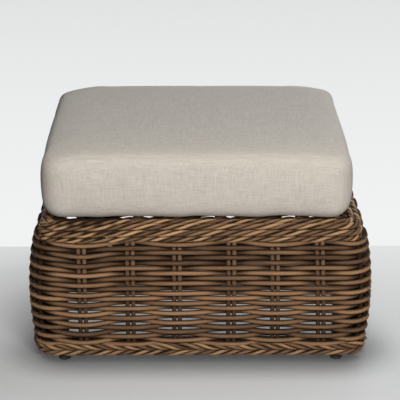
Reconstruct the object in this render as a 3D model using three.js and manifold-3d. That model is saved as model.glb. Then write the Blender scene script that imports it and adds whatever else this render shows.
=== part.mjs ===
// Outdoor ottoman footstool: a woven barrel-sided base on an aluminium frame, with a loose seat cushion.
// Millimetres. The origin is on the floor under the middle of the base. +Z is up and -Y is the front.
import * as THREE from "three";
import Module from "manifold-3d";

const wasm = await Module();
wasm.setup();

// Overall sizes of the woven base
const overallWidth = 796;
const overallDepth = 656;
const contactGap = 0.3; // between pieces that touch
const rimTopHeight = 342; // the level that the cushion rests on

// Woven wall
const rowCount = 22;
const rowThickness = 7; // depth of a flattened weaver strand
const stakeDiameter = 9.7;
const passClearance = 2.5; // between a stake and the strand that passes it
const wallCornerRadius = 58; // to the middle of the weave
const bowDepth = 15; // how far the barrel wall draws in over bowSpan
const bowSpan = 131;
const bowHeight = 155; // level of the widest row
const tieLength = 12; // stretch at the middle of a wall where each row is bound to the next

// Stake pairs, as shares of half the overall width or depth
const frontPairShares = [-0.673, -0.4, -0.134, 0.174, 0.424, 0.683];
const rearPairShares = [0.676, 0.406, 0.135, -0.135, -0.406, -0.676];
const sidePairShares = [-0.64, -0.32, 0, 0.32, 0.64];
const pairSpacing = 12.8; // between the centres of the two stakes of a pair
const cornerStepAngle = Math.PI / 6; // from the corner stake to the next ring of a weaver

// Top border: rope courses that roll over the top rail
const courseDiameter = 14.4;
const topCourseInset = 30; // from the widest row to the outside of the lowest course
const courseClimbAngles = [88, 112, 157, 180]; // degrees from outward, from each course to the next

// Bottom border: two plaited courses
const plaitDiameter = 16.6;
const plaitInset = 10; // from the widest row to the outside of the upper plait course
const plaitDropAngle = -107; // degrees from outward, from the upper course to the lower
const plaitUnderside = 16.4; // clear of the floor
const bottomRowDrop = 1.7; // room for the lowest row where it bows over the plait

// Frame
const topRailWidth = 35;
const tightestBend = 2; // inside radius of a ring's corner
const topRailHeight = 22;
const topRailLip = 3; // how far the rail reaches out past the middle of the highest course
const bottomRailWidth = 36;
const bottomRailHeight = 20;
const bottomRailUnderside = 24;
const legDiameter = 22;
const tubeWall = 1.5;
const legInset = 83.5; // from the side of the base to the middle of a leg
const legRowClearance = 4.7; // between a leg and the inner rows
const slatWidth = 24;
const slatCount = 6;
const slatEndRoom = 163; // from the side of the base to the middle of the outermost slat

// Levelling glides
const glideOutset = 3; // from the middle of the bottom rail outwards
const glidePadDiameter = 28;
const glidePadHeight = 11;
const glideEdge = 1.5;
const glideNeckDiameter = 15;
const glideStemDiameter = 8;
const glideStemReach = 16; // of the stem into the rail
const glideBoreSpare = 2; // left above the stem

// Seat cushion
const cushionSideMargin = 49; // from the widest row to the side of the cushion
const cushionEndMargin = 25; // from the widest row to the front or back of the cushion
const cushionHeight = 165;
const cushionCornerRadius = 74;
const cushionDrawIn = 3; // of each side between its corners
const cushionShift = -9.5; // the cushion lies a little left of the base
const coverThickness = 1.6;
const coreClearance = 0.8;
// Side of the cushion from its underside to its crown: share of the plan size, share of the height
const cushionProfileShares = [
  [0.9, 0], [0.965, 0.02], [0.99, 0.1], [1, 0.3], [1, 0.58], [0.994, 0.78], [0.975, 0.88],
  [0.935, 0.935], [0.8, 0.965], [0.52, 0.99], [0.22, 1],
];
const coreProfileShares = [
  [0.9, 0], [0.965, 0.02], [0.99, 0.1], [1, 0.3], [1, 0.58], [0.975, 0.88], [0.935, 0.935],
  [0.8, 0.965], [0.52, 0.99], [0.22, 1],
];
const outlineSideSteps = 5;
const outlineCornerSteps = 4;

// Zip across the back of the cushion cover
const zipLength = 420;
const zipSlotHeight = 10;
const zipHeightShare = 0.45; // of the cushion's height
const zipTapeThickness = 1.5;
const zipSteps = 8;
const zipEndRoom = 14; // from the end of the tape to the slider's middle
const sliderWidth = 8;
const sliderHeight = 8;
const sliderDepth = 4;
const pullLength = 22;
const pullThickness = 1.4;
const cutOverrun = 20;

// Facets
const courseSides = 12;
const courseCornerSteps = 4;
const stakeSides = 5;
const bendSteps = 4;
const roundSides = 16;

// Worked out from the sizes above
const degree = Math.PI / 180;
const stakeRadius = stakeDiameter / 2;
const rowStandoff = stakeRadius + rowThickness / 2 + passClearance;
const rowReach = rowStandoff + rowThickness / 2;
const weaveHalfWidth = overallWidth / 2 - rowReach;
const weaveHalfDepth = overallDepth / 2 - rowReach;
const cornerX = weaveHalfWidth - wallCornerRadius;
const cornerY = weaveHalfDepth - wallCornerRadius;
const courseRadius = courseDiameter / 2;
const plaitRadius = plaitDiameter / 2;
const coursePlaces = topCoursePlaces();
const plaitPlaces = bottomCoursePlaces();
const wallTop = coursePlaces[0].z - courseRadius - contactGap;
const wallBottom = plaitPlaces[0].z + plaitRadius + bottomRowDrop;
const stakeBottom = stakeSeat();
const rowPitch = (wallTop - wallBottom) / rowCount;
const innerCourse = coursePlaces[coursePlaces.length - 1];
const highestCourse = coursePlaces[coursePlaces.length - 2];
const topRailTop = innerCourse.z - courseRadius - contactGap;
const topRailOffset = highestCourse.offset + topRailLip - topRailWidth / 2;
const bottomRailOffset = plaitPlaces[1].offset - plaitRadius - contactGap - bottomRailWidth / 2;
const bottomRailTop = bottomRailUnderside + bottomRailHeight;
const legX = overallWidth / 2 - legInset;
const legY = overallDepth / 2 - bowInset(wallTop) - 2 * rowReach - legDiameter / 2 - legRowClearance;
const glideY = weaveHalfDepth + bottomRailOffset + glideOutset;
const slatPitch = (overallWidth - 2 * slatEndRoom) / (slatCount - 1);
const cushionWidth = overallWidth - 2 * cushionSideMargin;
const cushionDepth = overallDepth - 2 * cushionEndMargin;
const cushionBottom = rimTopHeight;
const cushionRear = cushionDepth / 2;
const zipHeight = cushionBottom + cushionHeight * zipHeightShare;

// How far the middle of the weave lies inside its widest line at a height
function bowInset(z) {
  return bowDepth * ((z - bowHeight) / bowSpan) ** 2;
}

// Downward or upward lean of the weave's outward direction at a height
function bowLean(z) {
  return Math.atan((2 * bowDepth * (z - bowHeight)) / bowSpan ** 2);
}

// Middle of each top course: offset from the widest line of the weave, and height
function topCoursePlaces() {
  const step = courseDiameter + contactGap;
  const climb = courseClimbAngles.map((a) => Math.sin(a * degree) * step);
  const rise = climb.reduce((sum, c) => sum + c, 0);
  let offset = rowReach - topCourseInset - courseRadius;
  let z = rimTopHeight - contactGap - courseRadius - rise;
  const places = [{ offset, z }];
  for (const angle of courseClimbAngles) {
    offset += Math.cos(angle * degree) * step;
    z += Math.sin(angle * degree) * step;
    places.push({ offset, z });
  }
  return places;
}

// Middle of the two plait courses, the upper one first
function bottomCoursePlaces() {
  const step = plaitDiameter + contactGap;
  const lowerZ = plaitUnderside + plaitRadius;
  const upper = {
    offset: rowReach - plaitInset - plaitRadius,
    z: lowerZ - Math.sin(plaitDropAngle * degree) * step,
  };
  const lower = { offset: upper.offset + Math.cos(plaitDropAngle * degree) * step, z: lowerZ };
  return [upper, lower];
}

// Height at which the outer edge of a stake rests on the upper plait course
function stakeSeat() {
  const { offset, z } = plaitPlaces[0];
  const across = offset - (stakeRadius - bowInset(z + plaitRadius));
  return z + Math.sqrt((plaitRadius + contactGap) ** 2 - across ** 2);
}

// A station is a place on the plan of the base: the point its outward direction starts from, and its angle
function flatStation(angle, along) {
  const out = { x: Math.round(Math.cos(angle)), y: Math.round(Math.sin(angle)) };
  return { x: out.x * cornerX + (out.x ? 0 : along), y: out.y * cornerY + (out.y ? 0 : along), angle };
}

function cornerStation(signX, signY, turn) {
  const angle = Math.atan2(signY, signX) + turn;
  return { x: signX * cornerX, y: signY * cornerY, angle };
}

// A point at a station, so far outside the widest line of the weave, so far along it, and so high
function spot(station, offset, z, along = 0) {
  const reach = wallCornerRadius + offset;
  const c = Math.cos(station.angle);
  const s = Math.sin(station.angle);
  return new THREE.Vector3(station.x + reach * c - along * s, station.y + reach * s + along * c, z);
}

// Skins matching rings. An open stack gets a cap at each end. The faces are turned outward.
function loft(rings, closed = false) {
  const count = rings[0].length;
  const index = [];
  const spans = closed ? rings.length : rings.length - 1;
  for (let i = 0; i < spans; i++) {
    const next = (i + 1) % rings.length;
    for (let k = 0; k < count; k++) {
      const a = i * count + k;
      const b = i * count + ((k + 1) % count);
      const c = next * count + ((k + 1) % count);
      const d = next * count + k;
      index.push(a, b, c, a, c, d);
    }
  }
  if (!closed) {
    const last = (rings.length - 1) * count;
    for (let k = 1; k < count - 1; k++) {
      index.push(0, k + 1, k);
      index.push(last, last + k, last + k + 1);
    }
  }
  return outward(rings.flat(), index);
}

function outward(points, index) {
  let volume = 0;
  for (let i = 0; i < index.length; i += 3) {
    const [a, b, c] = [points[index[i]], points[index[i + 1]], points[index[i + 2]]];
    volume += a.dot(new THREE.Vector3().crossVectors(b, c));
  }
  if (volume < 0) {
    index.reverse();
  }
  const geometry = new THREE.BufferGeometry();
  const flat = points.flatMap((p) => [p.x, p.y, p.z]);
  geometry.setAttribute("position", new THREE.Float32BufferAttribute(flat, 3));
  geometry.setIndex(index);
  return geometry;
}

function toManifold(geometry) {
  const position = geometry.getAttribute("position");
  const places = new Map();
  const vertices = [];
  const merged = [];
  for (let i = 0; i < position.count; i++) {
    const point = [position.getX(i), position.getY(i), position.getZ(i)].map((v) => Math.fround(v));
    const key = point.map((v) => v.toFixed(4)).join();
    if (!places.has(key)) {
      places.set(key, places.size);
      vertices.push(...point);
    }
    merged.push(places.get(key));
  }
  const corners = geometry.index ? [...geometry.index.array] : [...merged.keys()];
  const triangles = [];
  for (let i = 0; i < corners.length; i += 3) {
    const [a, b, c] = [merged[corners[i]], merged[corners[i + 1]], merged[corners[i + 2]]];
    if (a !== b && b !== c && c !== a) {
      triangles.push(a, b, c);
    }
  }
  const mesh = new wasm.Mesh({
    numProp: 3,
    vertProperties: new Float32Array(vertices),
    triVerts: new Uint32Array(triangles),
  });
  return new wasm.Manifold(mesh);
}

function fromManifold(manifold) {
  const mesh = manifold.getMesh();
  const geometry = new THREE.BufferGeometry();
  geometry.setAttribute("position", new THREE.Float32BufferAttribute(mesh.vertProperties, 3));
  geometry.setIndex([...mesh.triVerts]);
  return geometry;
}

function cut(geometry, cutters) {
  const left = cutters.reduce((whole, cutter) => whole.subtract(toManifold(cutter)), toManifold(geometry));
  return fromManifold(left);
}

// Walls in order round the plan: facing angle, pairs and the signs of the first and last corner
const wallLayouts = [
  ["front", -Math.PI / 2, frontPairShares, overallWidth / 2, [-1, -1], [1, -1]],
  ["right", 0, sidePairShares, overallDepth / 2, [1, -1], [1, 1]],
  ["rear", Math.PI / 2, rearPairShares, overallWidth / 2, [1, 1], [-1, 1]],
  ["left", Math.PI, [...sidePairShares].reverse(), overallDepth / 2, [-1, 1], [-1, -1]],
];

// Corner stakes and pairs are counted on round the plan, so that the weave keeps alternating
function planWalls() {
  let place = 0;
  return wallLayouts.map(([name, angle, shares, half, firstSigns, lastSigns]) => {
    const pairs = shares.map((share) => flatStation(angle, share * half));
    const tiePair = Math.floor(pairs.length / 2);
    const wall = { name, pairs, firstSigns, lastSigns, firstPlace: place, tiePair };
    place += pairs.length + 1;
    return wall;
  });
}

// +1 where a row passes outside a place on the plan, -1 where it passes inside
function rowSide(row, place) {
  return (row + place) % 2 === 0 ? 1 : -1;
}

function rowSection(station, side, row) {
  const z = wallBottom + (row + 0.5) * rowPitch;
  const lean = bowLean(z);
  const offset = -bowInset(z) + side * rowStandoff * Math.cos(lean);
  const level = z + side * rowStandoff * Math.sin(lean);
  const half = rowThickness / 2;
  const halfHeight = (rowPitch - contactGap) / 2;
  return [
    spot(station, offset + half, level - halfHeight),
    spot(station, offset + half, level + halfHeight),
    spot(station, offset - half, level + halfHeight),
    spot(station, offset - half, level - halfHeight),
  ];
}

// Rings of one weaver along one wall, from corner stake to corner stake, with two at the tie
function rowRings(wall, row) {
  const mitre = Math.atan2(contactGap / 2, wallCornerRadius - bowDepth - rowReach);
  const firstSide = rowSide(row, wall.firstPlace);
  const lastSide = rowSide(row, wall.firstPlace + wall.pairs.length + 1);
  const firstStep = cornerShare(wall.pairs[0]);
  const lastStep = cornerShare(wall.pairs[wall.pairs.length - 1]);
  const rings = [
    rowSection(cornerStation(...wall.firstSigns, mitre), firstSide, row),
    rowSection(cornerStation(...wall.firstSigns, cornerStepAngle), firstSide * (1 - 2 * firstStep), row),
  ];
  wall.pairs.forEach((pair, i) => {
    if (i === wall.tiePair) {
      tieStations(wall).forEach((station) => rings.push(rowSection(station, 0, row)));
    }
    rings.push(rowSection(pair, rowSide(row, wall.firstPlace + i + 1), row));
  });
  rings.push(
    rowSection(cornerStation(...wall.lastSigns, -cornerStepAngle), lastSide * (1 - 2 * lastStep), row),
    rowSection(cornerStation(...wall.lastSigns, -mitre), lastSide, row),
  );
  return rings;
}

// The two ends of the stretch where the rows are bound, midway between two pairs
function tieStations(wall) {
  const before = wall.pairs[wall.tiePair - 1];
  const after = wall.pairs[wall.tiePair];
  const apart = Math.hypot(after.x - before.x, after.y - before.y);
  return [-1, 1].map((end) => {
    const share = 0.5 + (end * tieLength) / 2 / apart;
    return {
      x: before.x + (after.x - before.x) * share,
      y: before.y + (after.y - before.y) * share,
      angle: before.angle,
    };
  });
}

// Share of the way from a corner stake to the nearest pair at which a weaver has its ring on the corner
function cornerShare(station) {
  const straight = Math.hypot(cornerX - Math.abs(station.x), cornerY - Math.abs(station.y));
  const whole = straight + (wallCornerRadius * Math.PI) / 4;
  return (wallCornerRadius * cornerStepAngle) / whole;
}

// Skins the rows of a wall as one body: at the tie the top of each row opens into the bottom of the next
function wallGeometry(wall) {
  const [outerLow, outerHigh, innerHigh, innerLow] = [0, 1, 2, 3];
  const points = [];
  const index = [];
  const quad = (a, b, c, d) => index.push(a, b, c, a, c, d);
  const tie = wall.tiePair + 2; // the ring at which the tie starts
  let ringCount = 0;
  const at = (row, ring, corner) => (row * ringCount + ring) * 4 + corner;
  for (let row = 0; row < rowCount; row++) {
    const rings = rowRings(wall, row);
    ringCount = rings.length;
    points.push(...rings.flat());
    quad(at(row, 0, outerLow), at(row, 0, innerLow), at(row, 0, innerHigh), at(row, 0, outerHigh));
    for (let ring = 0; ring < ringCount - 1; ring++) {
      for (let k = 0; k < 4; k++) {
        const joined = ring === tie &&
          ((k === outerHigh && row < rowCount - 1) || (k === innerLow && row > 0));
        if (!joined) {
          const next = (k + 1) % 4;
          quad(at(row, ring, k), at(row, ring, next), at(row, ring + 1, next), at(row, ring + 1, k));
        }
      }
    }
    const last = ringCount - 1;
    quad(at(row, last, outerLow), at(row, last, outerHigh),
      at(row, last, innerHigh), at(row, last, innerLow));
  }
  for (let row = 0; row < rowCount - 1; row++) {
    const above = row + 1;
    quad(at(row, tie, outerHigh), at(above, tie, outerLow),
      at(above, tie + 1, outerLow), at(row, tie + 1, outerHigh));
    quad(at(above, tie, innerLow), at(row, tie, innerHigh),
      at(row, tie + 1, innerHigh), at(above, tie + 1, innerLow));
    quad(at(row, tie, outerHigh), at(row, tie, innerHigh),
      at(above, tie, innerLow), at(above, tie, outerLow));
    quad(at(row, tie + 1, outerHigh), at(above, tie + 1, outerLow),
      at(above, tie + 1, innerLow), at(row, tie + 1, innerHigh));
  }
  return outward(points, index);
}

// Ring of a stake: across the wall and along it, square to an upright direction tilted along the wall by turn
function stakeRing(station, along, z, turn) {
  const ring = [];
  for (let k = 0; k < stakeSides; k++) {
    const a = (k * 2 * Math.PI) / stakeSides;
    const across = Math.cos(a) * stakeRadius;
    const side = Math.sin(a) * stakeRadius;
    const level = z + side * Math.sin(turn);
    ring.push(spot(station, across - bowInset(z), level, along + side * Math.cos(turn)));
  }
  return ring;
}

const stakeLevelShares = [0, 0.2, 0.4, 0.6, 0.8, 1];

// Two stakes of a pair, joined by a bend under the top border
function pairGeometry(station) {
  const bendRadius = pairSpacing / 2;
  const bendLevel = wallTop - stakeRadius - bendRadius;
  const levels = stakeLevelShares.map((share) => stakeBottom + share * (bendLevel - stakeBottom));
  const rings = levels.map((z) => stakeRing(station, -bendRadius, z, 0));
  for (let i = 1; i < bendSteps; i++) {
    const turn = (i * Math.PI) / bendSteps;
    const along = -bendRadius * Math.cos(turn);
    rings.push(stakeRing(station, along, bendLevel + bendRadius * Math.sin(turn), -turn));
  }
  levels.reverse().forEach((z) => rings.push(stakeRing(station, bendRadius, z, -Math.PI)));
  return loft(rings);
}

function cornerStakeGeometry(signX, signY) {
  const station = cornerStation(signX, signY, 0);
  const levels = stakeLevelShares.map((share) => stakeBottom + share * (wallTop - stakeBottom));
  return loft(levels.map((z) => stakeRing(station, 0, z, 0)));
}

// How far a ring's corner centres move in, so that its inner edge still turns a corner without a fold
function cornerTuck(innerOffset) {
  return Math.max(0, tightestBend - wallCornerRadius - innerOffset);
}

// Stations all round the plan, at the ends and along the arc of each corner
function cornerStations(tuck) {
  const signs = [[-1, -1], [1, -1], [1, 1], [-1, 1]];
  const stations = [];
  for (const [signX, signY] of signs) {
    for (let i = 0; i <= courseCornerSteps; i++) {
      const turn = (i / courseCornerSteps - 0.5) * (Math.PI / 2);
      const { x, y, angle } = cornerStation(signX, signY, turn);
      stations.push({ x: x - signX * tuck, y: y - signY * tuck, angle });
    }
  }
  return stations;
}

function roundRing(place, radius) {
  const tuck = cornerTuck(place.offset - radius);
  const rings = cornerStations(tuck).map((station) => {
    const ring = [];
    for (let k = 0; k < courseSides; k++) {
      const a = (k * 2 * Math.PI) / courseSides;
      ring.push(spot(station, place.offset + tuck + Math.cos(a) * radius, place.z + Math.sin(a) * radius));
    }
    return ring;
  });
  return loft(rings, true);
}

function railRing(offset, bottom, width, height) {
  const tuck = cornerTuck(offset - width / 2);
  const outer = offset + tuck + width / 2;
  const inner = offset + tuck - width / 2;
  const rings = cornerStations(tuck).map((station) => [
    spot(station, outer, bottom),
    spot(station, outer, bottom + height),
    spot(station, inner, bottom + height),
    spot(station, inner, bottom),
  ]);
  return loft(rings, true);
}

// A solid of revolution about an upright axis
function turned(profile, x, y) {
  const points = profile.map(([r, z]) => new THREE.Vector2(r, z));
  const geometry = new THREE.LatheGeometry(points, roundSides);
  geometry.rotateX(Math.PI / 2);
  geometry.translate(x, y, 0);
  return fromManifold(toManifold(geometry));
}

function legGeometry(x, y) {
  const low = bottomRailTop + contactGap;
  const high = topRailTop - topRailHeight - contactGap;
  const outer = legDiameter / 2;
  const inner = outer - tubeWall;
  return turned([[inner, low], [outer, low], [outer, high], [inner, high], [inner, low]], x, y);
}

function glideGeometry(x, y) {
  const pad = glidePadDiameter / 2;
  const neck = glideNeckDiameter / 2;
  const stem = glideStemDiameter / 2;
  const shoulder = bottomRailUnderside - contactGap;
  const tip = bottomRailUnderside + glideStemReach;
  return turned([
    [0, 0], [pad - glideEdge, 0], [pad, glideEdge], [pad, glidePadHeight - glideEdge],
    [pad - glideEdge, glidePadHeight], [neck, glidePadHeight], [neck, shoulder], [stem, shoulder],
    [stem, tip], [0, tip],
  ], x, y);
}

function bottomRailGeometry() {
  const rail = railRing(bottomRailOffset, bottomRailUnderside, bottomRailWidth, bottomRailHeight);
  const radius = glideStemDiameter / 2 + contactGap;
  const top = bottomRailUnderside + glideStemReach + glideBoreSpare;
  const low = bottomRailUnderside - cutOverrun;
  const bores = [];
  for (const [signX, signY] of [[-1, -1], [1, -1], [1, 1], [-1, 1]]) {
    bores.push(turned([[0, low], [radius, low], [radius, top], [0, top]], signX * legX, signY * glideY));
  }
  return cut(rail, bores);
}

// A deck slat: an open tube from the front run of the top rail to the back run
function slatGeometry(x) {
  const half = weaveHalfDepth + innerCourse.offset - courseRadius - contactGap;
  const bottom = topRailTop + contactGap;
  const height = rimTopHeight - contactGap - bottom;
  const section = (shrink) => [
    [x - slatWidth / 2 + shrink, bottom + shrink],
    [x + slatWidth / 2 - shrink, bottom + shrink],
    [x + slatWidth / 2 - shrink, bottom + height - shrink],
    [x - slatWidth / 2 + shrink, bottom + height - shrink],
  ];
  const ring = (shrink, y) => section(shrink).map(([px, pz]) => new THREE.Vector3(px, y, pz));
  const rings = [ring(0, -half), ring(0, half), ring(tubeWall, half), ring(tubeWall, -half)];
  return loft(rings, true);
}

// How far a long side of the cushion is drawn in, at a distance from its middle
function drawnIn(x) {
  const run = cushionWidth / 2 - cushionCornerRadius;
  return cushionDrawIn * (1 - (x / run) ** 2);
}

// Plan outline of the cushion, drawn in between the corners
function cushionOutline(shrink) {
  const halfX = cushionWidth / 2 - shrink;
  const halfY = cushionDepth / 2 - shrink;
  const radius = cushionCornerRadius - shrink;
  const points = [];
  for (let side = 0; side < 4; side++) {
    const lengthwise = side % 2 === 0;
    const run = (lengthwise ? halfX : halfY) - radius;
    const reach = lengthwise ? halfY : halfX;
    const turn = (side * Math.PI) / 2;
    const place = (along, out) => points.push([
      along * Math.cos(turn) + out * Math.sin(turn),
      along * Math.sin(turn) - out * Math.cos(turn),
    ]);
    for (let i = 0; i < outlineSideSteps; i++) {
      const t = (2 * i) / outlineSideSteps - 1;
      place(run * t, reach - cushionDrawIn * (1 - t * t));
    }
    for (let i = 0; i < outlineCornerSteps; i++) {
      const a = (i / outlineCornerSteps) * (Math.PI / 2);
      place(run + radius * Math.sin(a), reach - radius * (1 - Math.cos(a)));
    }
  }
  return points;
}

function cushionForm(shrink, profileShares) {
  const outline = cushionOutline(shrink);
  const bottom = cushionBottom + shrink;
  const height = cushionHeight - 2 * shrink;
  return loft(profileShares.map(([planShare, heightShare]) =>
    outline.map(([x, y]) => new THREE.Vector3(
      cushionShift + x * planShare, y * planShare, bottom + height * heightShare))));
}

function zipLine(depth, halfLength, halfHeight) {
  const rings = [];
  for (let i = 0; i <= zipSteps; i++) {
    const x = halfLength * ((2 * i) / zipSteps - 1);
    const y = cushionRear - drawnIn(x);
    rings.push([
      new THREE.Vector3(cushionShift + x, y - depth[0], zipHeight - halfHeight),
      new THREE.Vector3(cushionShift + x, y - depth[1], zipHeight - halfHeight),
      new THREE.Vector3(cushionShift + x, y - depth[1], zipHeight + halfHeight),
      new THREE.Vector3(cushionShift + x, y - depth[0], zipHeight + halfHeight),
    ]);
  }
  return loft(rings);
}

function coverGeometry() {
  const outer = cushionForm(0, cushionProfileShares);
  const inner = cushionForm(coverThickness, cushionProfileShares);
  const slot = zipLine([-cutOverrun, cutOverrun], zipLength / 2, zipSlotHeight / 2);
  return cut(outer, [inner, slot]);
}

function coreGeometry() {
  return cushionForm(coverThickness + coreClearance, coreProfileShares);
}

function zipTapeGeometry() {
  const low = coverThickness / 2 - zipTapeThickness / 2;
  return zipLine([low, low + zipTapeThickness], zipLength / 2 - contactGap, zipSlotHeight / 2 - contactGap);
}

// The slider rides straight along the outside of the tape, with its pull hanging
function sliderGeometry() {
  const closedEnd = zipLength / 2 - zipEndRoom;
  const x = cushionShift + closedEnd;
  const back = cushionRear - drawnIn(closedEnd + sliderWidth / 2) + contactGap;
  const front = back + sliderDepth;
  const top = zipHeight + sliderHeight / 2;
  const low = zipHeight - sliderHeight / 2;
  const outline = [
    [back, low], [front, low], [front, low - pullLength], [front + pullThickness, low - pullLength],
    [front + pullThickness, top], [back, top],
  ];
  const ring = (px) => outline.map(([y, z]) => new THREE.Vector3(px, y, z));
  const shape = new THREE.Shape(outline.map(([y, z]) => new THREE.Vector2(y, z)));
  const faces = THREE.ShapeUtils.triangulateShape(shape.getPoints(), []);
  const points = [...ring(x - sliderWidth / 2), ...ring(x + sliderWidth / 2)];
  const count = outline.length;
  const index = [];
  for (const [a, b, c] of faces) {
    index.push(a, c, b, a + count, b + count, c + count);
  }
  for (let k = 0; k < count; k++) {
    const next = (k + 1) % count;
    index.push(k, next, next + count, k, next + count, k + count);
  }
  return outward(points, index);
}

const wicker = { color: 0x8a6a4a, roughness: 0.6, metalness: 0 };
const darkWicker = { color: 0x6f573f, roughness: 0.6, metalness: 0 };
const paintedFrame = { color: 0x5a4636, roughness: 0.5, metalness: 0.3 };
const blackPlastic = { color: 0x1c1a1a, roughness: 0.55, metalness: 0 };
const linen = { color: 0xc4baac, roughness: 0.95, metalness: 0 };
const foam = { color: 0xe8e2cc, roughness: 0.9, metalness: 0 };
const zipFinish = { color: 0xb9ae9e, roughness: 0.6, metalness: 0.1 };

const object = new THREE.Group();

function addPiece(name, geometry, finish) {
  geometry.computeVertexNormals();
  const mesh = new THREE.Mesh(geometry, new THREE.MeshStandardMaterial(finish));
  mesh.name = name;
  object.add(mesh);
}

for (const wall of planWalls()) {
  addPiece(`${wall.name}_weave`, wallGeometry(wall), wicker);
  wall.pairs.forEach((pair, i) => {
    addPiece(`${wall.name}_stake_pair_${i + 1}`, pairGeometry(pair), darkWicker);
  });
}

const corners = [
  ["front_left", -1, -1], ["front_right", 1, -1], ["rear_right", 1, 1], ["rear_left", -1, 1],
];
for (const [name, signX, signY] of corners) {
  addPiece(`${name}_corner_stake`, cornerStakeGeometry(signX, signY), darkWicker);
  addPiece(`${name}_leg`, legGeometry(signX * legX, signY * legY), paintedFrame);
  addPiece(`${name}_glide`, glideGeometry(signX * legX, signY * glideY), blackPlastic);
}

const courseNames = ["lowest", "second", "third", "highest", "inner"];
coursePlaces.forEach((place, i) => {
  addPiece(`top_border_${courseNames[i]}_course`, roundRing(place, courseRadius), wicker);
});
addPiece("bottom_border_upper_course", roundRing(plaitPlaces[0], plaitRadius), wicker);
addPiece("bottom_border_lower_course", roundRing(plaitPlaces[1], plaitRadius), wicker);

const topRailBottom = topRailTop - topRailHeight;
addPiece("top_rail", railRing(topRailOffset, topRailBottom, topRailWidth, topRailHeight), paintedFrame);
addPiece("bottom_rail", bottomRailGeometry(), paintedFrame);
for (let i = 0; i < slatCount; i++) {
  addPiece(`deck_slat_${i + 1}`, slatGeometry((i - (slatCount - 1) / 2) * slatPitch), paintedFrame);
}

addPiece("cushion_cover", coverGeometry(), linen);
addPiece("cushion_foam_core", coreGeometry(), foam);
addPiece("zip_tape", zipTapeGeometry(), zipFinish);
addPiece("zip_slider", sliderGeometry(), zipFinish);

export default object;
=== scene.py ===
# %% [markdown]
# # Outdoor ottoman footstool
# This lesson dresses a woven footstool. Its imported CAD model is loaded first as a fixed frame. Every piece made
# here is in metres in that same frame: -Y is the front, +Z is up, and the origin is on the floor under the middle
# of the base.

import math

import bmesh
import bpy
import numpy as np
from mathutils import Matrix, Vector


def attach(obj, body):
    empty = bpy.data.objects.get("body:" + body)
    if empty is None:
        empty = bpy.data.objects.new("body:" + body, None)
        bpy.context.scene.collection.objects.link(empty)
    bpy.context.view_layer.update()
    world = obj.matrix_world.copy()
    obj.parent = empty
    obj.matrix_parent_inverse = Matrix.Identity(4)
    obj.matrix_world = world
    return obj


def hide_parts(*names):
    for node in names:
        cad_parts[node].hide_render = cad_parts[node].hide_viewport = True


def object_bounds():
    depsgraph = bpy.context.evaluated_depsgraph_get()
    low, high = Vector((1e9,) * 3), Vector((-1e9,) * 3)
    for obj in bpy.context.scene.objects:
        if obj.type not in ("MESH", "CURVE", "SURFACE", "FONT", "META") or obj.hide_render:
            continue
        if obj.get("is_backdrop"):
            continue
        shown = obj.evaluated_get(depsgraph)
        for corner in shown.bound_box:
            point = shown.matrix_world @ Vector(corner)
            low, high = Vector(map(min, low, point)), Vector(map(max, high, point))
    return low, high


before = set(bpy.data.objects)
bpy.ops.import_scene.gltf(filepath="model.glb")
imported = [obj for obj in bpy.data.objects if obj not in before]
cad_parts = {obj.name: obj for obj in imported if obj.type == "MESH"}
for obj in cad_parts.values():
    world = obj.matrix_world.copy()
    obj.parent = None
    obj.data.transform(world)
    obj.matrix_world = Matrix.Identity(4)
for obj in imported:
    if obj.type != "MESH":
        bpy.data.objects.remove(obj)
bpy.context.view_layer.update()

# %% [markdown]
# ## Camera
# The picture was taken from the front with a long lens, a little above the rim, looking down 19 degrees. The lines
# that run back into depth meet a little left of the middle, so the camera stands 20 mm left and turns back.

# %% Camera
camera_data = bpy.data.cameras.new("front_camera")
camera_data.sensor_width = 36
camera_data.lens = 128.1
camera = bpy.data.objects.new("front_camera", camera_data)
bpy.context.collection.objects.link(camera)
camera.location = (-0.020, -3.290, 1.416)
camera.rotation_euler = (math.radians(90 - 18.9), 0, math.radians(-0.36))
bpy.context.scene.camera = camera
bpy.context.scene.view_settings.view_transform = "Standard"
print("camera at", tuple(camera.location))

# %% [markdown]
# ## Floor
# The studio is a very large pale floor. A backdrop would hide the footstool from behind, so there is none. Past a
# line a little behind the base, the floor shines evenly instead and reads as the bright wall of the picture. In
# front of the line its own shading carries the shadow of the base.

# %% Floor
bpy.ops.object.select_all(action="DESELECT")
bpy.ops.mesh.primitive_plane_add(size=1, location=(0, 2.5, 0))
floor = bpy.context.object
floor.name = "studio_floor"
floor.scale = (16, 18, 1)
bpy.ops.object.transform_apply(location=True, rotation=True, scale=True)
floor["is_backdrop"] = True
print("floor", len(floor.data.polygons), "face")

# %% [markdown]
# ## Node helpers
# Every finish here is a net of shader nodes, so it stays sharp at any distance and needs no image. A few short
# helpers add and join the nodes, so that each finish further down reads like a recipe.


# %% Adding and joining nodes
def add_node(tree, kind, **settings):
    """A node with its settings, or its input sockets where a name is no setting."""
    node = tree.nodes.new(kind)
    for key, value in settings.items():
        if hasattr(node, key):
            setattr(node, key, value)
        else:
            node.inputs[key.replace("_", " ")].default_value = value
    return node


def wire(tree, source, target):
    tree.links.new(source, target)


def feed(tree, target, value):
    """Sets a socket to a number or a colour, or wires another socket to it."""
    if isinstance(value, (int, float, tuple)):
        target.default_value = value
    else:
        wire(tree, value, target)


print("nodes can be added and joined")


# %% Sums and blends
def maths(tree, operation, *values):
    """A Math node on one or two values, each a socket or a number."""
    node = add_node(tree, "ShaderNodeMath", operation=operation)
    for socket, value in zip(node.inputs, values):
        feed(tree, socket, value)
    return node.outputs[0]


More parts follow.
